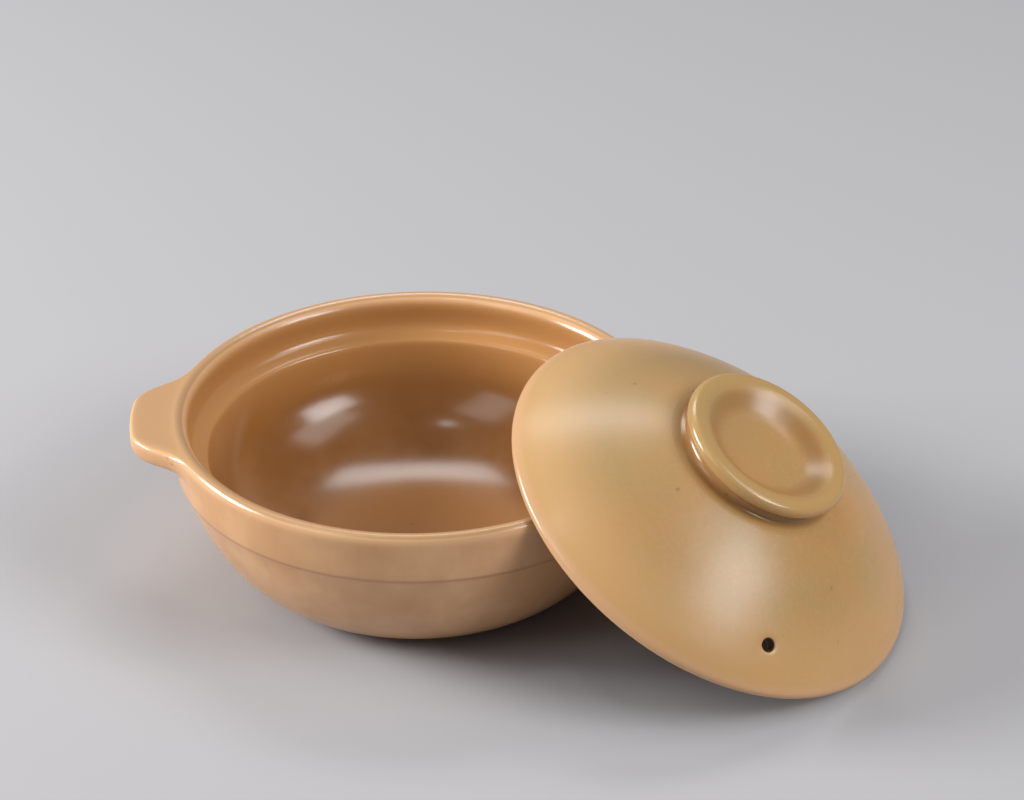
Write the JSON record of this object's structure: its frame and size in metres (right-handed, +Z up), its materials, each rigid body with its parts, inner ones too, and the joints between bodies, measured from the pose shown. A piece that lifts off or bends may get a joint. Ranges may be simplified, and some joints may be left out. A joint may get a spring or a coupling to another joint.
{
  "type": "covered clay casserole",
  "caption": "Small glazed clay casserole with two ledge handles; its domed lid, with ring knob and steam hole, leans against the rim.",
  "frame": {"origin": "centre of the pot's foot ring, on the surface that it stands on", "axes": "+X from the pot's axis through its right handle, +Y to the back, +Z up along the pot's axis"},
  "size_m": [0.2464, 0.1895, 0.0819],
  "materials": {
    "pot_glaze": "glossy amber-tan glaze, browner where it pools inside, bare clay on the foot ring",
    "lid_glaze": "satin ochre glaze with fine pits and specks"
  },
  "bodies": {
    "pot": {"pot_bowl": "pot_glaze", "left_ear_handle": "pot_glaze", "right_ear_handle": "pot_glaze"},
    "lid": {"lid_dome": "lid_glaze", "lid_ring_knob": "lid_glaze"}
  },
  "joints": [
    {"name": "lid_lift", "type": "slide", "parent": "pot", "child": "lid", "axis": [0, 0, 1], "range_m": [0, 0.1]}
  ]
}
